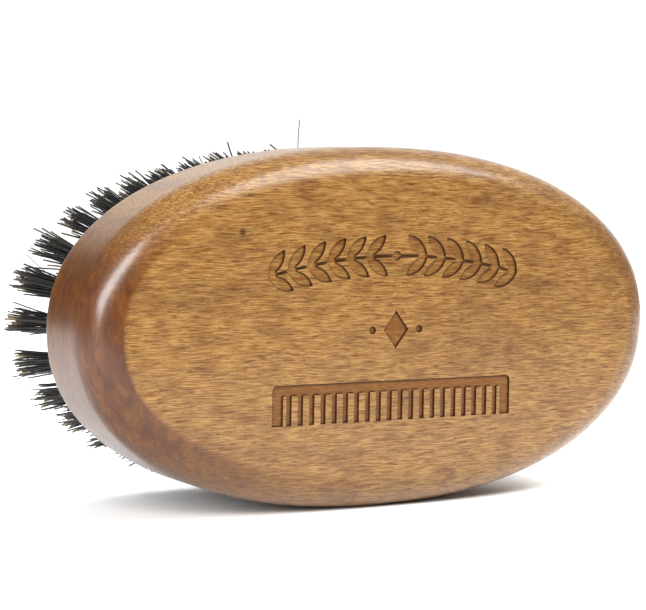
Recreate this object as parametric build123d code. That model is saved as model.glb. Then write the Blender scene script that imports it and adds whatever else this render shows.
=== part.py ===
from build123d import *
from math import ceil, cos, radians, sin, tan
import os

# Oval palm brush for beards, standing on one long edge of its wooden stock.
# X runs along the oval, Z up across it, and Y from the flat back (-Y) to the bristle tips (+Y).
# The origin is the middle of the brush on the surface it stands on. Lengths are in millimetres.

# Wooden stock
STOCK_LENGTH = 104.0
STOCK_WIDTH = 57.2
STOCK_THICKNESS = 18.0
OVAL_EXPONENT = 2.18  # 2 would be a plain ellipse, and more is squarer
OVAL_POINTS = 32
BACK_ROUNDING = 6.0
FRONT_ROUNDING = 1.8

# Tufts of boar bristle, each folded over a flat-wire anchor in a blind hole
BRISTLE_PROJECTION = 15.5
HOLE_RADIUS = 1.45
HOLE_DEPTH = 8.5
TUFT_CLEARANCE = 0.05
TUFT_TIP_RADIUS = 2.0
RING_PITCH = 5.3
FIRST_RING_INSET = 7.0

# Each ring, from the rim inwards: its name, tufts, nodes that it is cut into, and the outward
# lean of its tufts along the oval's long sides
RINGS = [
    ("outer_ring", 44, 11, 13.0),
    ("second_ring", 36, 6, 9.0),
    ("third_ring", 30, 5, 5.5),
    ("inner_ring", 24, 4, 3.0),
]
END_LEAN_GAIN = 0.46  # how much more the tufts lean at the two ends of the oval
MIDDLE_ROW_TUFTS = 10
MIDDLE_ROW_NODES = 2
MIDDLE_ROW_LENGTH = 43.0

# Anchor: a short length of flat wire whose ends bite into the wood beside the hole
ANCHOR_LENGTH = 3.4
ANCHOR_WIDTH = 2.0
ANCHOR_THICKNESS = 0.45
ANCHOR_GAP = 0.02
FOLD_UNDER_ANCHOR = 0.9  # bristle between the bottom of the hole and the anchor

# Engraving in the back: a laurel over a lozenge over a comb
ENGRAVING_DEPTH = 0.35
ARCH_RADIUS = 90.0
ARCH_TOP = 11.6
LAUREL_HALF_ANGLE = 14.8
LAUREL_STEM = 0.5
LEAF_PAIRS = 6  # on each side of the middle
FIRST_LEAF_ANGLE = 3.6
LEAF_LENGTH = 5.0
LEAF_WIDTH = 1.9
LEAF_LEAN = 40.0
BERRY_RADIUS = 0.75
LOZENGE_WIDTH = 4.6
LOZENGE_HEIGHT = 6.0
DOT_RADIUS = 0.6
DOT_SPACING = 4.3
COMB_WIDTH = 44.0
COMB_TOP = -8.0
COMB_SPINE = 1.7
COMB_TEETH = 20
TOOTH_WIDTH = 0.9
TOOTH_LENGTH = 4.6
END_TOOTH_WIDTH = 1.9

total_depth = STOCK_THICKNESS + BRISTLE_PROJECTION
back_y = -total_depth / 2
face_y = back_y + STOCK_THICKNESS
middle_z = STOCK_WIDTH / 2

# The flat back, seen from behind the brush: its x is X and its y is Z.
back_plane = Plane(origin=(0, back_y, middle_z), x_dir=(1, 0, 0), z_dir=(0, -1, 0))


def oval(inset):
    """The stock's outline moved in by inset, as one smooth closed curve."""
    half_length = STOCK_LENGTH / 2 - inset
    half_width = STOCK_WIDTH / 2 - inset
    power = 2 / OVAL_EXPONENT
    points = []
    for step in range(OVAL_POINTS):
        turn = radians(360 * step / OVAL_POINTS)
        across, up = cos(turn), sin(turn)
        x = half_length * abs(across) ** power * (1 if across >= 0 else -1)
        y = half_width * abs(up) ** power * (1 if up >= 0 else -1)
        points.append((x, y))
    return Spline(*points, periodic=True)


def stock_blank():
    """The solid oval block, rounded over at the back and eased at the bristle face."""
    blank = back_plane * extrude(make_face(oval(0)), amount=-STOCK_THICKNESS)
    rims = blank.faces().filter_by(Axis.Y).sort_by(Axis.Y)
    blank = fillet(rims[0].edges(), BACK_ROUNDING)
    front_rim = blank.faces().filter_by(Axis.Y).sort_by(Axis.Y)[-1]
    return fillet(front_rim.edges(), FRONT_ROUNDING)


def ring_planes(inset, count, lean):
    """One plane for each tuft of a ring: origin on the bristle face, z along the tuft, x along
    the ring."""
    ring = oval(inset)
    planes = []
    for step in range(count):
        place = step / count
        spot = ring @ place
        along = ring % place
        outward = Vector(along.Y, -along.X)
        tilt = radians(lean * (1 + END_LEAN_GAIN * outward.X**2))
        axis = Vector(outward.X * sin(tilt), cos(tilt), outward.Y * sin(tilt))
        planes.append(
            Plane(
                origin=(spot.X, face_y, middle_z + spot.Y),
                x_dir=(along.X, 0, along.Y),
                z_dir=axis,
            )
        )
    return planes


def row_planes():
    """The same for the straight middle row, whose tufts stand square to the face."""
    step = MIDDLE_ROW_LENGTH / (MIDDLE_ROW_TUFTS - 1)
    return [
        Plane(origin=(-MIDDLE_ROW_LENGTH / 2 + step * k, face_y, middle_z), x_dir=(1, 0, 0), z_dir=(0, 1, 0))
        for k in range(MIDDLE_ROW_TUFTS)
    ]


def anchor_block(gap=0.0):
    """A flat-wire anchor across the hole, standing on edge, in its tuft's own plane."""
    size = (ANCHOR_LENGTH + 2 * gap, ANCHOR_THICKNESS + 2 * gap, ANCHOR_WIDTH + 2 * gap)
    height = -HOLE_DEPTH + FOLD_UNDER_ANCHOR + ANCHOR_WIDTH / 2
    return Pos(0, 0, height) * Box(*size)


def hole_cutter():
    """The drilled hole, run past the bristle face, with the bites of its anchor."""
    run_out = HOLE_RADIUS
    length = HOLE_DEPTH + run_out
    hole = Pos(0, 0, run_out - length / 2) * Cylinder(HOLE_RADIUS, length)
    return hole + anchor_block(ANCHOR_GAP)


def tuft_solid(lean):
    """A tuft as one plain solid: parallel in its hole, then spreading towards the trimmed tips.
    It is long enough for the ring's largest lean."""
    tilt = radians(lean * (1 + END_LEAN_GAIN))
    root = HOLE_RADIUS - TUFT_CLEARANCE
    bottom = -HOLE_DEPTH + TUFT_CLEARANCE
    # A leaning tuft is left long here, and trim_box cuts it level with the others.
    length = BRISTLE_PROJECTION / cos(tilt) + TUFT_TIP_RADIUS * tan(tilt)
    spread = root + (TUFT_TIP_RADIUS - root) * length / BRISTLE_PROJECTION
    outline = Polyline((0, bottom), (root, bottom), (root, 0), (spread, length), (0, length), close=True)
    profile = Plane.XZ * make_face(outline)
    return revolve(profile, Axis.Z) - anchor_block(ANCHOR_GAP)


def leaf(length, width):
    """A pointed leaf from the origin along +X."""
    upper = ThreePointArc((0, 0), (length / 2, width / 2), (length, 0))
    lower = ThreePointArc((length, 0), (length / 2, -width / 2), (0, 0))
    return make_face(upper + lower)


def laurel():
    """Leaf pairs along an arched stem, growing from both ends to a berry at the middle."""
    centre_y = ARCH_TOP - ARCH_RADIUS
    outer = Circle(ARCH_RADIUS + LAUREL_STEM / 2) - Circle(ARCH_RADIUS - LAUREL_STEM / 2)
    reach = ARCH_RADIUS * 2  # well past the arch
    half_chord = reach * tan(radians(LAUREL_HALF_ANGLE))
    wedge = make_face(Polyline((0, 0), (half_chord, reach), (-half_chord, reach), close=True))
    branch = Pos(0, centre_y) * (outer & wedge)
    leaf_step = (LAUREL_HALF_ANGLE - FIRST_LEAF_ANGLE) / (LEAF_PAIRS - 1)
    for side in (-1, 1):
        for pair in range(LEAF_PAIRS):
            angle = FIRST_LEAF_ANGLE + leaf_step * pair
            on_stem = Pos(0, centre_y) * Rot(0, 0, -side * angle) * Pos(0, ARCH_RADIUS)
            for lean in (-LEAF_LEAN, LEAF_LEAN):
                towards_middle = Rot(0, 0, (180 if side > 0 else 0) + lean)
                branch += on_stem * towards_middle * leaf(LEAF_LENGTH, LEAF_WIDTH)
    return branch + Pos(0, ARCH_TOP) * Circle(BERRY_RADIUS)


def lozenge():
    """A small diamond with a dot at each side."""
    half_width, half_height = LOZENGE_WIDTH / 2, LOZENGE_HEIGHT / 2
    corners = [(half_width, 0), (0, half_height), (-half_width, 0), (0, -half_height)]
    mark = make_face(Polyline(*corners, close=True))
    for side in (-1, 1):
        mark += Pos(side * DOT_SPACING, 0) * Circle(DOT_RADIUS)
    return mark


def comb():
    """A plain comb: a rounded spine with thin teeth between two broad end teeth."""
    spine_y = COMB_TOP - COMB_SPINE / 2
    mark = Pos(0, spine_y) * SlotOverall(COMB_WIDTH, COMB_SPINE)
    first = -COMB_WIDTH / 2 + END_TOOTH_WIDTH / 2
    pitch = (COMB_WIDTH - END_TOOTH_WIDTH) / (COMB_TEETH + 1)
    for tooth in range(COMB_TEETH + 2):
        is_end = tooth in (0, COMB_TEETH + 1)
        width = END_TOOTH_WIDTH if is_end else TOOTH_WIDTH
        height = TOOTH_LENGTH + COMB_SPINE / 2  # from the middle of the spine
        mark += Pos(first + pitch * tooth, spine_y - height / 2) * Rectangle(width, height)
    return mark


def engraving():
    """The three marks of the back, as one shallow cutter."""
    marks = laurel() + lozenge() + comb()
    return back_plane * extrude(marks, amount=-ENGRAVING_DEPTH)


def grouped(planes, groups):
    """Cuts a ring's planes into runs of neighbours, as near equal as they go."""
    size = ceil(len(planes) / groups)
    return [planes[first : first + size] for first in range(0, len(planes), size)]


os.makedirs("parts", exist_ok=True)

# Its +Y side is the plane that the bristle tips are trimmed to.
trim_box = Pos(0, 0, middle_z) * Box(2 * STOCK_LENGTH, total_depth, 2 * STOCK_WIDTH)
stock = stock_blank() - engraving()
cutters = []
layout = []
for index, (name, count, groups, lean) in enumerate(RINGS):
    planes = ring_planes(FIRST_RING_INSET + RING_PITCH * index, count, lean)
    layout.append((name, planes, groups, lean))
layout.append(("middle_row", row_planes(), MIDDLE_ROW_NODES, 0.0))

hole = hole_cutter()
anchor = anchor_block()
for name, planes, groups, lean in layout:
    tuft = tuft_solid(lean)
    for number, run in enumerate(grouped(planes, groups), start=1):
        tufts = [plane * tuft & trim_box for plane in run]
        export_step(Compound(children=tufts), f"parts/{name}_tufts_{number:02d}.step")
        anchors = [plane * anchor for plane in run]
        export_step(Compound(children=anchors), f"parts/{name}_anchors_{number:02d}.step")
    cutters += [plane * hole for plane in planes]

stock = stock - cutters
export_step(stock, "parts/wooden_stock.step")
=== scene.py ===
import math
import random

import bpy
import numpy as np
from bpy.props import FloatProperty, FloatVectorProperty, IntProperty, PointerProperty
from mathutils import Matrix, Vector


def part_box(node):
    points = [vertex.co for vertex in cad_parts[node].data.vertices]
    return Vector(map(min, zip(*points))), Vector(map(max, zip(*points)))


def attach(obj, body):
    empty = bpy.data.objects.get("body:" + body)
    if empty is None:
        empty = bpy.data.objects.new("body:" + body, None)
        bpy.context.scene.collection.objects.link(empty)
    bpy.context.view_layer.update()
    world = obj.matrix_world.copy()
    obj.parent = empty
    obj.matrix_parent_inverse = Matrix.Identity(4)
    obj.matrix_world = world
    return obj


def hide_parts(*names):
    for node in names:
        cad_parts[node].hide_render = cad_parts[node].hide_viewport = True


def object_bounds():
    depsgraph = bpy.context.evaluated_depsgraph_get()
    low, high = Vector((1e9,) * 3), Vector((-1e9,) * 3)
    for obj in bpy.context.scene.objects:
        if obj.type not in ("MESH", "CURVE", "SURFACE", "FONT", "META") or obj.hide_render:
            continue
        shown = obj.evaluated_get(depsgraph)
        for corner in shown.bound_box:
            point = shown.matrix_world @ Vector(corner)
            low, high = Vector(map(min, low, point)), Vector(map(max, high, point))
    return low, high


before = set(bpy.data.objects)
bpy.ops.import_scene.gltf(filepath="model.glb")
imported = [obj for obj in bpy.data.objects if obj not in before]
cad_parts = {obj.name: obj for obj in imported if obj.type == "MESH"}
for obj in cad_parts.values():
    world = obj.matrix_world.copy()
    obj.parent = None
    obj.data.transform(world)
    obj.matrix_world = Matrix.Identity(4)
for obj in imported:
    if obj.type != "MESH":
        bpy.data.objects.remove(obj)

bl_info = {
    "name": "Beard Brush",
    "version": (1, 0, 0),
    "blender": (4, 5, 0),
    "location": "View3D > Sidebar > Beard Brush",
    "description": "Finishes an oval beard brush: lacquered stock, bristle tufts, wire anchors and a stage",
    "category": "Object",
}

MM = 0.001
CAD_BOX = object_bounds()
LIFT = 0.35 * MM  # least height of a bristle over the floor

STOCK_NODE = "wooden_stock"
RINGS = ["outer_ring", "second_ring", "third_ring", "inner_ring", "middle_row"]
TUFT_NODES = [n for ring in RINGS for n in sorted(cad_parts) if n.startswith(ring + "_tufts")]
ANCHOR_NODES = [n for ring in RINGS for n in sorted(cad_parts) if n.startswith(ring + "_anchors")]

STOCK_LOW, STOCK_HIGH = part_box(STOCK_NODE)
BACK_Y = STOCK_LOW.y          # the flat back
FACE_Y = STOCK_HIGH.y         # the bristle face
TIP_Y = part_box(TUFT_NODES[0])[1].y
MIDDLE_Z = (STOCK_LOW.z + STOCK_HIGH.z) / 2

# The middle of the knot, in millimetres
PIN_KNOT = (-27.4, -16.8, 44.2)

# Strays that stand out of their tufts, in millimetres: the x and z of the tuft on the bristle
# face, then the x, y and z of the hair's tip, and its share of a full hair's thickness
STRAYS = [
    (-5.0, 50.1, -1.7, 12.0, 61.7, 0.75),
    (-14.9, 49.3, -14.0, 14.5, 57.7, 1.3),
    (-14.9, 49.3, -16.1, 14.8, 55.9, 1.0),
    (-19.8, 48.5, -19.5, 14.0, 55.3, 0.8),
    (-41.7, 37.7, -48.2, 14.5, 39.6, 0.8),
    (-44.2, 33.5, -49.4, 14.5, 39.4, 0.45),
    (-44.2, 33.5, -51.6, 15.0, 36.6, 0.5),
    (-44.2, 23.7, -50.6, 15.5, 19.6, 0.8),
]

# How the hairs of a tuft are laid, in metres
HOLE_RADIUS = 1.22 * MM       # of the bundle where it leaves the wood
TIP_RADIUS = 2.0 * MM         # of the bundle at the trimmed tips
FOLD_HEIGHT = 0.16 * MM       # of the fold over the bottom of the hole
WIRE_UNDER = 0.62 * MM        # heights of the anchor's two edges
WIRE_TOP = 2.95 * MM
WIRE_SIDE = 0.36 * MM         # how far a hair passes from the anchor's middle
EXIT_DEPTH = 0.8 * MM         # where a hair straightens, below the bristle face
BOW = 0.16 * MM               # typical sideways bow of a hair
SHORT_BY = 0.6, 3.6           # range of the short hairs' loss, in millimetres

# How many of the hairs are different, and by how much
WILD_SHARE, WILD_SPREAD = 0.05, 2.2
SHORT_SHARE = 0.13
BLEACHED_SHARE = 0.09

# Share of clear coat on the wood, and how much of it the engraving has lost
LACQUER = 0.75
LACQUER_BURNT_OFF = 0.55

# Parts of the room, each a cone: azimuth and elevation of its middle, then the angles from there
# at which it starts to fade and is gone, all in degrees
BACKDROP_CONE = (150, 8, 32, 52)
DARK_END_CONE = (203, 5, 12, 30)
DARK_FRONT_CONE = (-5, -8, 32, 62)

# Each light: its name, the headings of its two ends, its distance from the brush and its width in
# metres, its power in watts, and whether the lacquer mirrors it
SOFT_BOXES = [
    ("left_strip", (-0.35, -0.66, 0.67), (-0.92, -0.34, 0.16), 0.8, 0.24, 9.5, True),
    ("right_strip", (0.17, -0.66, 0.71), (0.59, -0.16, 0.79), 0.8, 0.4, 6.0, True),
    ("overhead", (0.25, 0.45, 0.85), (0.92, 0.25, 0.45), 1.0, 0.6, 10.0, False),
]

# The camera's turn, rise and roll in degrees, its distance, and its lens on a 36 mm frame
VIEW_TURN, VIEW_RISE, VIEW_ROLL = -30.13, 4.07, 0.88
VIEW_DISTANCE = 306.6 * MM
VIEW_LENS = 111.2545


# ---------------------------------------------------------------- settings


def srgb(hex_colour):
    """An sRGB hex colour as linear red, green and blue."""
    channels = [int(hex_colour[i : i + 2], 16) / 255 for i in (1, 3, 5)]
    return tuple(c / 12.92 if c <= 0.04045 else ((c + 0.055) / 1.055) ** 2.4 for c in channels)


def colour(name, description, hex_colour):
    """A colour that the user can change, given as sRGB hex."""
    return FloatVectorProperty(
        name=name,
        description=description,
        subtype="COLOR",
        size=3,
        min=0,
        max=1,
        default=srgb(hex_colour),
    )


def size(name, description, millimetres):
    """A length that the user can change, given in millimetres."""
    return FloatProperty(
        name=name,
        description=description,
        subtype="DISTANCE",
        unit="LENGTH",
        min=0,
        precision=5,
        default=millimetres * MM,
    )


def brightness(name, description, amount):
    """A brightness that the user can change."""
    return FloatProperty(name=name, description=description, min=0, default=amount)


class BRUSH_PG_stock(bpy.types.PropertyGroup):
    """Finish of the wooden stock"""

    wood: colour("Wood", "Main colour of the lacquered wood", "#653c0d")
    pale_wood: colour("Pale wood", "Colour of the lightest fibres", "#95723e")
    dark_wood: colour("Dark wood", "Colour of the dark flecks and fibres", "#3a1c07")
    end_grain: colour("End grain", "Colour where the fibres are cut across", "#4a260c")
    burnt: colour("Burnt line", "Colour of the scorched edge of the engraving", "#2a1206")
    engraved: colour("Engraved floor", "Colour of the floor of the engraving", "#633c1a")
    fleck_length: size("Fleck length", "Length of the dark flecks along the grain", 1.5)
    fibre_width: size("Fibre width", "Width of the fine fibres across the grain", 0.22)


class BRUSH_PG_bristles(bpy.types.PropertyGroup):
    """Make-up of each bristle tuft"""

    hairs: IntProperty(
        name="Hairs",
        description="Hairs folded into each tuft, of which each shows both its ends",
        min=4,
        default=35,
    )
    # A boar bristle is 0.15 to 0.25 mm thick. These are a little coarser, so that each one shows.
    thickness: size("Thickness", "Diameter of one bristle", 0.27)
    spread: size("Spread", "How far the tips stray from their place in the tuft", 0.5)
    splay: size("Splay", "How far the bristles of the long sides have splayed outwards", 0.9)
    trim: size("Trim", "How unevenly the tips are trimmed", 0.9)
    black: colour("Black", "Main colour of the bristles", "#0c0a09")
    grey: colour("Grey", "Colour of the palest bristles", "#2b2725")
    tan: colour("Tan", "Colour of the split tips", "#a78e60")


class BRUSH_PG_anchors(bpy.types.PropertyGroup):
    """Finish of the wire anchors"""

    steel: colour("Steel", "Colour of the drawn flat wire", "#b9b7b2")


class BRUSH_PG_stage(bpy.types.PropertyGroup):
    """Floor and light"""

    floor: colour("Floor", "Colour of the floor", "#fafafa")
    floor_width: size("Floor width", "Width of the floor", 1000)
    floor_near: size("Floor in front", "How far the floor comes forward of the brush", 200)
    backdrop: brightness("Backdrop", "Brightness of the white backdrop", 1.15)
    room: brightness("Room", "Brightness of the room round it", 0.34)
    dark_end: brightness("Dark end", "Brightness of the room's dark end and of its front", 0.06)


class BRUSH_PG_settings(bpy.types.PropertyGroup):
    """All the settings of the beard brush"""

    stock: PointerProperty(type=BRUSH_PG_stock)
    bristles: PointerProperty(type=BRUSH_PG_bristles)
    anchors: PointerProperty(type=BRUSH_PG_anchors)
    stage: PointerProperty(type=BRUSH_PG_stage)


# ---------------------------------------------------------------- materials


def add_node(tree, kind, settings=None, links=None):
    """Adds a node, sets its properties and plain inputs, and links sockets into its inputs."""
    node = tree.nodes.new(kind)
    for name, value in (settings or {}).items():
        if isinstance(name, str) and hasattr(node, name):
            setattr(node, name, value)
        else:
            node.inputs[name].default_value = value
    for name, source in (links or {}).items():
        tree.links.new(source, node.inputs[name])
    return node


def new_material(name):
    """An empty material with one Principled shader, and its tree and shader."""
    material = bpy.data.materials.new(name)
    material.use_nodes = True
    tree = material.node_tree
    tree.nodes.clear()
    shader = add_node(tree, "ShaderNodeBsdfPrincipled")
    add_node(tree, "ShaderNodeOutputMaterial", links={"Surface": shader.outputs[0]})
    return material, tree, shader


def millimetre_coordinates(tree):
    """The piece's own coordinates, counted in millimetres."""
    place = add_node(tree, "ShaderNodeTexCoord")
    scaled = add_node(
        tree,
        "ShaderNodeVectorMath",
        {"operation": "SCALE", "Scale": 1 / MM},
        {0: place.outputs["Object"]},
    )
    return scaled.outputs[0]


def grain_noise(tree, place, cell, detail=3.0, roughness=0.5, distortion=0.0):
    """Noise whose cells are cell millimetres long along X, Y and Z."""
    stretched = add_node(
        tree,
        "ShaderNodeMapping",
        {"Scale": tuple(1 / c for c in cell)},
        {"Vector": place},
    )
    noise = add_node(
        tree,
        "ShaderNodeTexNoise",
        {"Scale": 1.0, "Detail": detail, "Roughness": roughness, "Distortion": distortion},
        {"Vector": stretched.outputs[0]},
    )
    return noise.outputs["Fac"]


def between(tree, value, low, high, to_low=0.0, to_high=1.0):
    """Maps low..high smoothly to to_low..to_high."""
    ranged = add_node(
        tree,
        "ShaderNodeMapRange",
        {
            "interpolation_type": "SMOOTHSTEP",
            "From Min": low,
            "From Max": high,
            "To Min": to_low,
            "To Max": to_high,
        },
        {"Value": value},
    )
    return ranged.outputs["Result"]


def maths(tree, operation, a, b=None):
    """One sum on sockets or plain numbers."""
    node = add_node(tree, "ShaderNodeMath", {"operation": operation})
    for index, term in enumerate((a, b)):
        if isinstance(term, bpy.types.NodeSocket):
            tree.links.new(term, node.inputs[index])
        elif term is not None:
            node.inputs[index].default_value = term
    return node.outputs[0]


def blend_colours(tree, share, first, second):
    """Mixes two colours, each a socket or linear red, green and blue."""
    node = add_node(
        tree,
        "ShaderNodeMix",
        {"data_type": "RGBA", "blend_type": "MIX", "clamp_factor": True},
    )
    factor, a, b = node.inputs[0], node.inputs[6], node.inputs[7]
    if isinstance(share, bpy.types.NodeSocket):
        tree.links.new(share, factor)
    else:
        factor.default_value = share
    for socket, value in ((a, first), (b, second)):
        if isinstance(value, bpy.types.NodeSocket):
            tree.links.new(value, socket)
        else:
            socket.default_value = (*value, 1.0)
    return node.outputs[2]


def lacquered_pear(settings):
    """Stained pear under satin-gloss lacquer: a fine even grain with short dark flecks, redder end
    grain with painted shade on the left end's lower side, a clear coat that mirrors the lights
    softly, and scorched lines in the engraving."""
    material, tree, shader = new_material("lacquered_pear")
    shader.inputs["Roughness"].default_value = 0.5
    shader.inputs["IOR"].default_value = 1.5
    shader.inputs["Specular IOR Level"].default_value = 0.12
    shader.inputs["Coat Roughness"].default_value = 0.24
    shader.inputs["Coat IOR"].default_value = 1.5
    straight = millimetre_coordinates(tree)

    # The grain runs along X and wanders a little up and down.
    wander = maths(tree, "SUBTRACT", grain_noise(tree, straight, (8.0, 9.0, 4.0), detail=2.0), 0.5)
    shift = add_node(tree, "ShaderNodeCombineXYZ", links={"Z": maths(tree, "MULTIPLY", wander, 1.0)})
    bent = add_node(tree, "ShaderNodeVectorMath", {"operation": "ADD"}, {0: straight, 1: shift.outputs[0]})
    place = bent.outputs[0]

    width = settings.fibre_width / MM
    fleck = settings.fleck_length / MM
    # Each noise cell is given along the grain, through the stock, and across the grain.
    fibres = grain_noise(tree, place, (4.0, width * 2, width), detail=4.0, roughness=0.7)
    flecks = grain_noise(tree, place, (fleck, width * 1.2, width * 0.7), detail=2.0, roughness=0.5)
    figure = grain_noise(tree, place, (6.0, 9.0, 2.6), detail=4.0, roughness=0.6)
    rings = grain_noise(tree, place, (40.0, 1.7, 9.0), detail=4.0, roughness=0.62, distortion=0.9)

    wood = blend_colours(tree, between(tree, fibres, 0.34, 0.66), settings.wood, settings.pale_wood)
    patches = between(tree, figure, 0.44, 0.7, 0.0, 0.4)
    wood = blend_colours(tree, patches, wood, settings.end_grain)
    ring_tone = between(tree, rings, 0.5, 0.72, 0.0, 0.22)
    wood = blend_colours(tree, ring_tone, wood, settings.dark_wood)
    fleck_share = between(tree, flecks, 0.54, 0.66, 0.0, 0.6)
    wood = blend_colours(tree, fleck_share, wood, settings.dark_wood)

    # A small dark pin knot
    offset = add_node(
        tree,
        "ShaderNodeVectorMath",
        {"operation": "DISTANCE", 1: PIN_KNOT},
        {0: place},
    )
    knot = between(tree, offset.outputs["Value"], 0.8, 0.3, 0.0, 0.85)
    wood = blend_colours(tree, knot, wood, settings.dark_wood)

    # Cut ends of the fibres drink more stain, and show the year rings as lines along the rim.
    geometry = add_node(tree, "ShaderNodeNewGeometry")
    facing = add_node(tree, "ShaderNodeSeparateXYZ", links={0: geometry.outputs["Normal"]})
    through = maths(tree, "ABSOLUTE", facing.outputs["Y"])
    pores = grain_noise(tree, straight, (1.6, 1.1, 3.4), detail=5.0, roughness=0.72, distortion=0.5)
    ring_lines = between(tree, rings, 0.42, 0.7, 0.0, 0.45)
    soaked = blend_colours(tree, ring_lines, settings.end_grain, settings.wood)
    soaked = blend_colours(tree, between(tree, pores, 0.5, 0.36, 0.0, 0.6), soaked, settings.wood)
    soaked = blend_colours(tree, between(tree, pores, 0.5, 0.64, 0.0, 0.7), soaked, settings.dark_wood)
    steep = maths(tree, "SQRT", maths(tree, "SUBTRACT", 1.0, maths(tree, "MULTIPLY", through, through)))
    # The left end has drunk most stain. Its lower side is darkened a little more as painted shade.
    leftward_and_low_shade = maths(tree, "MULTIPLY", facing.outputs["X"], -0.97)
    leftward_and_low_shade = maths(tree, "ADD", leftward_and_low_shade, maths(tree, "MULTIPLY", facing.outputs["Z"], -0.24))
    leftward_and_low_shade = maths(tree, "DIVIDE", leftward_and_low_shade, maths(tree, "MAXIMUM", steep, 0.01))
    left_end_stain_and_low_shade = between(tree, leftward_and_low_shade, 0.1, 0.85)
    right_end = between(tree, leftward_and_low_shade, -0.4, -0.97, 0.0, 0.4)
    end_soak_and_low_shade = maths(tree, "MAXIMUM", left_end_stain_and_low_shade, right_end)
    over_the_rim = between(tree, steep, 0.03, 0.16)
    # Blends in the end-grain stain, together with the painted shade on the lower side of the left end
    wood = blend_colours(tree, maths(tree, "MULTIPLY", end_soak_and_low_shade, over_the_rim), wood, soaked)

    # The engraving's floor lies just under the back, and its walls stand square to it.
    height = add_node(tree, "ShaderNodeSeparateXYZ", links={0: straight})
    depth = maths(tree, "SUBTRACT", height.outputs["Y"], BACK_Y / MM)
    shallow = between(tree, depth, 0.37, 0.40, 1.0, 0.0)
    sunk = between(tree, depth, 0.12, 0.3)
    flat = between(tree, through, 0.985, 0.999)
    floor = maths(tree, "MULTIPLY", maths(tree, "MULTIPLY", sunk, flat), shallow)
    wall = maths(tree, "MULTIPLY", between(tree, through, 0.7, 0.4), shallow)
    crevice = add_node(
        tree,
        "ShaderNodeAmbientOcclusion",
        {"samples": 8, "Distance": 0.42 * MM},
    )
    corner = between(tree, crevice.outputs["AO"], 0.93, 0.6)
    char = between(tree, flecks, 0.35, 0.65, 0.15, 0.6)
    below_laurel = between(tree, height.outputs["Z"], 35.0, 33.5, 0.0, 0.4)
    char = maths(tree, "MULTIPLY", floor, maths(tree, "ADD", char, below_laurel))
    wood = blend_colours(tree, char, wood, settings.engraved)
    scorched = maths(tree, "MAXIMUM", maths(tree, "MULTIPLY", corner, floor), wall)
    wood = blend_colours(tree, maths(tree, "MULTIPLY", scorched, 0.85), wood, settings.burnt)
    tree.links.new(wood, shader.inputs["Base Color"])
    lacquer = maths(tree, "SUBTRACT", LACQUER, maths(tree, "MULTIPLY", floor, LACQUER_BURNT_OFF))
    tree.links.new(lacquer, shader.inputs["Coat Weight"])

    # The lacquer levels most of the grain, and leaves the pores as faint dents.
    dents = maths(tree, "ADD", maths(tree, "MULTIPLY", fibres, 0.4), maths(tree, "MULTIPLY", flecks, -0.6))
    bump = add_node(
        tree,
        "ShaderNodeBump",
        {"Strength": 0.35, "Distance": 0.05 * MM},
        {"Height": dents},
    )
    tree.links.new(bump.outputs[0], shader.inputs["Normal"])
    ripple = grain_noise(tree, place, (6.0, 3.0, 3.0), detail=1.0)
    skin = add_node(
        tree,
        "ShaderNodeBump",
        {"Strength": 0.3, "Distance": 0.04 * MM},
        {"Height": maths(tree, "ADD", ripple, maths(tree, "MULTIPLY", fibres, 0.2))},
    )
    tree.links.new(skin.outputs[0], shader.inputs["Coat Normal"])
    return material


def boar_bristle(settings):
    """Dyed boar bristle: charcoal hairs with a dull horn-like gloss, some paler than others, and
    split tips that have lost their dye."""
    material, tree, shader = new_material("dyed_boar_bristle")
    shader.inputs["IOR"].default_value = 1.55
    shader.inputs["Specular IOR Level"].default_value = 0.3
    reach = add_node(tree, "ShaderNodeAttribute", {"attribute_name": "reach"}).outputs["Fac"]
    tone = add_node(tree, "ShaderNodeAttribute", {"attribute_name": "tone"}).outputs["Fac"]
    split = add_node(tree, "ShaderNodeAttribute", {"attribute_name": "split"}).outputs["Fac"]
    hair = blend_colours(tree, between(tree, tone, 0.35, 1.0), settings.black, settings.grey)
    tip = maths(tree, "MULTIPLY", between(tree, reach, 0.80, 0.98), split)
    hair = blend_colours(tree, tip, hair, settings.tan)
    place = millimetre_coordinates(tree)
    scales = grain_noise(tree, place, (0.5, 0.5, 0.5), detail=2.0)
    hair = blend_colours(tree, between(tree, scales, 0.45, 0.75, 0.0, 0.35), hair, settings.grey)
    tree.links.new(hair, shader.inputs["Base Color"])
    tree.links.new(between(tree, scales, 0.3, 0.7, 0.4, 0.6), shader.inputs["Roughness"])
    return material


def drawn_steel(settings):
    """Drawn flat wire of plain steel: bright, with fine lines along its length."""
    material, tree, shader = new_material("drawn_steel_wire")
    shader.inputs["Metallic"].default_value = 1.0
    place = millimetre_coordinates(tree)
    lines = grain_noise(tree, place, (1.2, 0.06, 1.2), detail=2.0)
    dull = tuple(c * 0.6 for c in settings.steel)
    tree.links.new(blend_colours(tree, lines, settings.steel, dull), shader.inputs["Base Color"])
    tree.links.new(between(tree, lines, 0.3, 0.7, 0.28, 0.46), shader.inputs["Roughness"])
    return material


def studio_paper(settings):
    """Matt white paper under the brush: it shows only the soft shadow."""
    material, tree, shader = new_material("studio_paper")
    shader.inputs["Roughness"].default_value = 0.9
    place = millimetre_coordinates(tree)
    tooth = grain_noise(tree, place, (4.0, 4.0, 4.0), detail=2.0)
    shade = tuple(c * 0.985 for c in settings.floor)
    tree.links.new(blend_colours(tree, tooth, settings.floor, shade), shader.inputs["Base Color"])
    return material


def paint(piece, material):
    """Gives a piece this one material."""
    piece.data.materials.clear()
    piece.data.materials.append(material)


# ---------------------------------------------------------------- bristles


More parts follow.
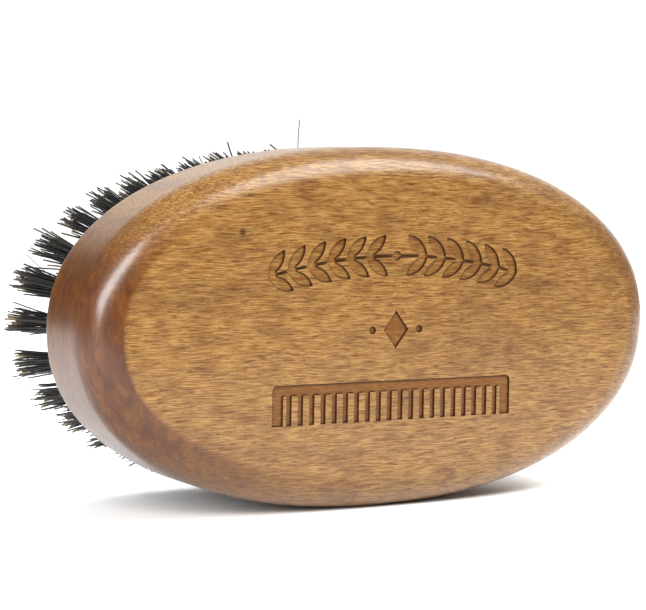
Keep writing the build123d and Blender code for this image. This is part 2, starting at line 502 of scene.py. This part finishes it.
def separate_solids(node):
    """The corners of each separate solid of a CAD node, as arrays of points in metres."""
    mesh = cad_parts[node].data
    points = np.array([v.co for v in mesh.vertices])
    keys = {}
    same = np.array([keys.setdefault(tuple(np.round(p / MM, 3)), len(keys)) for p in points])
    parent = list(range(len(keys)))

    def root(i):
        while parent[i] != i:
            parent[i] = parent[parent[i]]
            i = parent[i]
        return i

    for edge in mesh.edges:
        a, b = (root(same[v]) for v in edge.vertices)
        parent[a] = b
    groups = {}
    for index, key in enumerate(same):
        groups.setdefault(root(key), []).append(index)
    solids = [points[members] for members in groups.values()]
    return sorted(solids, key=lambda corners: tuple(np.round(corners.mean(0) / MM, 2)))


def tuft_line(corners):
    """Where a tuft's plain solid starts in its hole and where it ends at the trimmed tips."""
    lowest = corners[:, 1].min()
    bottom = corners[corners[:, 1] < lowest + 0.95 * MM]
    tips = corners[corners[:, 1] > TIP_Y - 0.05 * MM]
    middle = [(group.min(0) + group.max(0)) / 2 for group in (bottom, tips)]
    return Vector(middle[0]), Vector(middle[1])


def anchor_lines():
    """The middle of every wire anchor and the direction of its length."""
    lines = []
    for node in ANCHOR_NODES:
        for corners in separate_solids(node):
            middle = corners.mean(0)
            offsets = corners - middle
            spread = np.linalg.eigh(offsets.T @ offsets)
            lines.append((Vector(middle), Vector(spread[1][:, -1])))
    return lines


def disc_places(count, radius, draw):
    """Evenly spread places in a disc, each nudged a little."""
    golden = math.pi * (3 - math.sqrt(5))
    nudge = radius * 0.45 / math.sqrt(count)
    places = []
    for k in range(count):
        out = radius * math.sqrt((k + 0.5) / count)
        turn = golden * k
        places.append(
            (
                out * math.cos(turn) + draw.uniform(-nudge, nudge),
                out * math.sin(turn) + draw.uniform(-nudge, nudge),
            )
        )
    return places


class Hairs:
    """Collects hairs as thin tubes for one mesh."""

    SIDES = 5

    def __init__(self):
        self.points = []
        self.faces = []
        self.attributes = {"reach": [], "tone": [], "split": []}

    def add(self, path, radii, reach, tone, split):
        """One tube along path. reach is 1 at a tip, tone the paleness, split the bleach of a tip."""
        path = np.array(path)
        # No bristle reaches the surface that the brush stands on.
        path[:, 2] = np.maximum(path[:, 2], CAD_BOX[0].z + LIFT)
        forward = np.gradient(path, axis=0)
        forward /= np.linalg.norm(forward, axis=1)[:, None]
        side = np.cross(forward[0], (0.31, 0.17, 0.93))
        first = len(self.points)
        for centre, ahead, radius, along, bleach in zip(path, forward, radii, reach, split):
            side = side - ahead * side.dot(ahead)
            side /= np.linalg.norm(side)
            up = np.cross(ahead, side)
            for step in range(self.SIDES):
                turn = 2 * math.pi * step / self.SIDES
                self.points.append(centre + radius * (math.cos(turn) * side + math.sin(turn) * up))
                self.attributes["reach"].append(along)
                self.attributes["tone"].append(tone)
                self.attributes["split"].append(bleach)
        rings = len(path)
        for ring in range(rings - 1):
            a = first + ring * self.SIDES
            for step in range(self.SIDES):
                b = (step + 1) % self.SIDES
                self.faces.append((a + step, a + b, a + b + self.SIDES, a + step + self.SIDES))
        last = first + (rings - 1) * self.SIDES
        self.faces.append(tuple(first + step for step in reversed(range(self.SIDES))))
        self.faces.append(tuple(last + step for step in range(self.SIDES)))

    def mesh(self, name):
        """The finished mesh, smooth along each hair."""
        mesh = bpy.data.meshes.new(name)
        mesh.from_pydata([tuple(p) for p in self.points], [], self.faces)
        for key, values in self.attributes.items():
            layer = mesh.attributes.new(key, "FLOAT", "POINT")
            layer.data.foreach_set("value", np.array(values, np.float32))
        mesh.polygons.foreach_set("use_smooth", [len(f) == 4 for f in self.faces])
        mesh.validate()
        return mesh


def fold_tuft(hairs, root, tips, along_anchor, settings, draw):
    """Folds a tuft's hairs under its anchor and fans both ends of each out to the trimmed tips."""
    # Bristles along the two long sides have splayed outwards a little with use.
    outward = Vector((tips.x - root.x, 0, tips.z - root.z))
    if outward.length > 0:
        outward.normalize()
        tips = tips + outward * settings.splay * (1 - outward.x**2)
    axis = (tips - root).normalized()
    along = (along_anchor - axis * along_anchor.dot(axis)).normalized()
    across = axis.cross(along)
    length = (tips - root).length
    exit_height = (FACE_Y - root.y) / axis.y   # where the hairs leave the wood
    places = disc_places(2 * settings.hairs, 1.0, draw)
    upper = sorted(places, key=lambda place: place[1])
    pairs = list(zip(upper[: settings.hairs], upper[settings.hairs :]))
    for pair in pairs:
        legs = []
        tone = draw.random() ** 2.2
        for side, (p, q) in zip((-1, 1), pair):
            sway = draw.gauss(0, 1), draw.gauss(0, 1)
            wild = WILD_SPREAD if draw.random() < WILD_SHARE else 1.0
            tip_p = p * TIP_RADIUS + sway[0] * settings.spread * wild
            tip_q = q * TIP_RADIUS + sway[1] * settings.spread * wild
            cut = length + draw.gauss(0, 0.5) * settings.trim
            if draw.random() < SHORT_SHARE:
                cut -= draw.uniform(*SHORT_BY) * MM
            bow = draw.gauss(0, BOW), draw.gauss(0, BOW)
            steps = []
            for height in (WIRE_UNDER, WIRE_TOP):
                beside = side * (WIRE_SIDE + abs(q) * 0.7 * MM)
                steps.append((p * HOLE_RADIUS * 0.9, beside, height, 0.0))
            steps.append((p * HOLE_RADIUS, q * HOLE_RADIUS, exit_height - EXIT_DEPTH, 0.0))
            free = cut - exit_height
            for share in (0.0, 0.22, 0.44, 0.66, 0.84, 1.0):
                fan = share**1.25
                bend = math.sin(math.pi * share)
                steps.append(
                    (
                        p * HOLE_RADIUS * (1 - fan) + tip_p * fan + bow[0] * bend,
                        q * HOLE_RADIUS * (1 - fan) + tip_q * fan + bow[1] * bend,
                        exit_height + free * share,
                        share,
                    )
                )
            legs.append(steps)
        under = (pair[0][0] + pair[1][0]) / 2 * HOLE_RADIUS * 0.9
        bottom = (under, 0.0, FOLD_HEIGHT + draw.random() * 0.1 * MM, 0.0)
        route = legs[0][::-1] + [bottom] + legs[1]
        path = [root + along * a + across * b + axis * h for a, b, h, _ in route]
        reach = [r for _, _, _, r in route]
        thick = settings.thickness / 2 * draw.uniform(0.8, 1.12)
        radii = [thick * (1 - 0.1 * r**3) for r in reach]
        bleach = [0.0] * len(route)
        for start, end in ((0, len(legs[0])), (len(legs[0]) + 1, len(route))):
            amount = draw.uniform(0.4, 1.0) if draw.random() < BLEACHED_SHARE else draw.uniform(0.0, 0.1)
            bleach[start:end] = [amount] * (end - start)
        hairs.add(path, radii, reach, tone, bleach)


def add_stray(hairs, root, tips, end, share, settings):
    """One loose hair from a tuft's hole to its own end."""
    axis = (tips - root).normalized()
    leave = root + axis * ((FACE_Y - root.y) / axis.y)
    elbow = leave + axis * (end - leave).length * 0.45
    path = [root + axis * 3.1 * MM]
    for step in range(9):
        t = step / 8
        path.append(leave * (1 - t) ** 2 + elbow * 2 * t * (1 - t) + end * t**2)
    radii = [settings.thickness / 2 * share * (1 - 0.03 * step) for step in range(len(path))]
    hairs.add(path, radii, [0.0] * len(path), 0.9, [0.0] * len(path))


# ---------------------------------------------------------------- stage


def studio_room(settings):
    """A white backdrop in a dimmer room, so that the lacquer has pale and dark things to mirror."""
    world = bpy.data.worlds.new("studio_room")
    world.use_nodes = True
    tree = world.node_tree
    tree.nodes.clear()
    heading = add_node(tree, "ShaderNodeTexCoord").outputs["Generated"]

    def cone(azimuth, elevation, inner, outer):
        """1 within inner degrees of a heading, falling to 0 at outer degrees."""
        towards = add_node(
            tree,
            "ShaderNodeVectorMath",
            {"operation": "DOT_PRODUCT", 1: direction(azimuth, elevation)},
            {0: heading},
        )
        edge, middle = (math.cos(math.radians(angle)) for angle in (outer, inner))
        return between(tree, towards.outputs["Value"], edge, middle)

    backdrop, dark = (settings.backdrop,) * 3, (settings.dark_end,) * 3
    room = blend_colours(tree, cone(*BACKDROP_CONE), (settings.room,) * 3, backdrop)
    room = blend_colours(tree, cone(*DARK_END_CONE), room, dark)
    room = blend_colours(tree, cone(*DARK_FRONT_CONE), room, dark)
    # Seen directly, the backdrop is plain white all the way round.
    seen = add_node(tree, "ShaderNodeLightPath").outputs["Is Camera Ray"]
    room = blend_colours(tree, seen, room, backdrop)
    glow = add_node(tree, "ShaderNodeBackground", links={"Color": room})
    add_node(tree, "ShaderNodeOutputWorld", links={"Surface": glow.outputs[0]})
    return world


def direction(azimuth, elevation):
    """A heading in degrees from -Y towards +X, and up from the floor, as a unit vector."""
    turn, rise = math.radians(azimuth), math.radians(elevation)
    return (math.sin(turn) * math.cos(rise), -math.cos(turn) * math.cos(rise), math.sin(rise))


def soft_box(name, first_end, second_end, distance, width, power, mirrored):
    """A strip light, seen from the brush as a band between two headings."""
    middle = Vector((0, 0, MIDDLE_Z))
    ends = [middle + Vector(end).normalized() * distance for end in (first_end, second_end)]
    centre = (ends[0] + ends[1]) / 2
    along = (ends[1] - ends[0]).normalized()
    facing = (centre - middle).normalized()
    across = facing.cross(along).normalized()
    light = bpy.data.lights.new(name, "AREA")
    light.shape = "RECTANGLE"
    light.size = (ends[1] - ends[0]).length
    light.size_y = width
    light.energy = power
    box = bpy.data.objects.new(name, light)
    box.visible_glossy = mirrored
    bpy.context.scene.collection.objects.link(box)
    turn = Matrix((along, across, along.cross(across))).transposed()
    box.matrix_world = Matrix.Translation(centre) @ turn.to_4x4()
    return box


def view_camera():
    """A long lens a little above the brush's middle and to the left of its back."""
    azimuth, elevation, roll = (math.radians(a) for a in (VIEW_TURN, VIEW_RISE, VIEW_ROLL))
    back = Vector(
        (
            math.sin(azimuth) * math.cos(elevation),
            -math.cos(azimuth) * math.cos(elevation),
            math.sin(elevation),
        )
    )
    right = Vector((math.cos(azimuth), math.sin(azimuth), 0))
    up = back.cross(right)
    turned_right = right * math.cos(roll) + up * math.sin(roll)
    turned_up = up * math.cos(roll) - right * math.sin(roll)
    target = Vector((-13.33 * MM, BACK_Y, MIDDLE_Z + 4.17 * MM))
    camera = bpy.data.cameras.new("camera")
    camera.sensor_width = 36
    camera.lens = VIEW_LENS
    camera.clip_start = 0.01
    holder = bpy.data.objects.new("camera", camera)
    bpy.context.scene.collection.objects.link(holder)
    turn = Matrix((turned_right, turned_up, back)).transposed()
    holder.matrix_world = Matrix.Translation(target + back * VIEW_DISTANCE) @ turn.to_4x4()
    bpy.context.scene.camera = holder
    return holder


# ---------------------------------------------------------------- operators


class BRUSH_OT_stock(bpy.types.Operator):
    """Finish the wooden stock with lacquered pear"""

    bl_idname = "brush.stock"
    bl_label = "Wooden Stock"

    def execute(self, context):
        paint(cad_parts[STOCK_NODE], lacquered_pear(context.scene.beard_brush.stock))
        return {"FINISHED"}


class BRUSH_OT_bristles(bpy.types.Operator):
    """Fill every tuft with folded boar bristles"""

    bl_idname = "brush.bristles"
    bl_label = "Bristle Tufts"

    def execute(self, context):
        settings = context.scene.beard_brush.bristles
        material = boar_bristle(settings)
        anchors = anchor_lines()
        for node in TUFT_NODES:
            draw = random.Random(node)
            hairs = Hairs()
            for corners in separate_solids(node):
                root, tips = tuft_line(corners)
                along = min(anchors, key=lambda line: (line[0] - root).length)[1]
                fold_tuft(hairs, root, tips, along, settings, draw)
                leave = root.lerp(tips, (FACE_Y - root.y) / (tips.y - root.y))
                for foot_x, foot_z, *end, share in STRAYS:
                    if (leave - Vector((foot_x * MM, FACE_Y, foot_z * MM))).length < 1.5 * MM:
                        add_stray(hairs, root, tips, Vector(end) * MM, share, settings)
            piece = bpy.data.objects.new(node.replace("_tufts_", "_bristles_"), hairs.mesh(node))
            context.scene.collection.objects.link(piece)
            paint(piece, material)
            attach(piece, "root")
            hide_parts(node)
        return {"FINISHED"}


class BRUSH_OT_anchors(bpy.types.Operator):
    """Finish the wire anchors with drawn steel"""

    bl_idname = "brush.anchors"
    bl_label = "Wire Anchors"

    def execute(self, context):
        material = drawn_steel(context.scene.beard_brush.anchors)
        for node in ANCHOR_NODES:
            paint(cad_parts[node], material)
        return {"FINISHED"}


class BRUSH_OT_stage(bpy.types.Operator):
    """Set up the floor, the soft light and the camera"""

    bl_idname = "brush.stage"
    bl_label = "Stage"

    def execute(self, context):
        settings = context.scene.beard_brush.stage
        half = settings.floor_width / 2
        near = -settings.floor_near
        corners = [(-half, near, 0), (half, near, 0), (half, half, 0), (-half, half, 0)]
        mesh = bpy.data.meshes.new("floor")
        mesh.from_pydata(corners, [], [(0, 1, 2, 3)])
        floor = bpy.data.objects.new("floor", mesh)
        context.scene.collection.objects.link(floor)
        paint(floor, studio_paper(settings))

        context.scene.world = studio_room(settings)
        context.scene.view_settings.view_transform = "Standard"
        for light in SOFT_BOXES:
            soft_box(*light)
        view_camera()
        return {"FINISHED"}


class BRUSH_PT_panel(bpy.types.Panel):
    """Settings and steps of the beard brush"""

    bl_idname = "BRUSH_PT_panel"
    bl_label = "Beard Brush"
    bl_space_type = "VIEW_3D"
    bl_region_type = "UI"
    bl_category = "Beard Brush"

    def draw(self, context):
        settings = context.scene.beard_brush
        for operator, group in STEPS:
            column = self.layout.box().column()
            column.operator(operator.bl_idname)
            options = getattr(settings, group)
            for name in options.bl_rna.properties.keys():
                if name not in ("rna_type", "name"):
                    column.prop(options, name)


# Each step with the settings that it reads, in the order that the brush is made
STEPS = [
    (BRUSH_OT_stage, "stage"),
    (BRUSH_OT_stock, "stock"),
    (BRUSH_OT_bristles, "bristles"),
    (BRUSH_OT_anchors, "anchors"),
]

CLASSES = [
    BRUSH_PG_stock,
    BRUSH_PG_bristles,
    BRUSH_PG_anchors,
    BRUSH_PG_stage,
    BRUSH_PG_settings,
    *[operator for operator, _ in STEPS],
    BRUSH_PT_panel,
]


def register():
    for item in CLASSES:
        bpy.utils.register_class(item)
    bpy.types.Scene.beard_brush = PointerProperty(type=BRUSH_PG_settings)


def unregister():
    del bpy.types.Scene.beard_brush
    for item in reversed(CLASSES):
        bpy.utils.unregister_class(item)


def main():
    register()
    bpy.ops.brush.stage()
    bpy.ops.brush.stock()
    bpy.ops.brush.bristles()
    bpy.ops.brush.anchors()


if __name__ == "__main__":
    main()
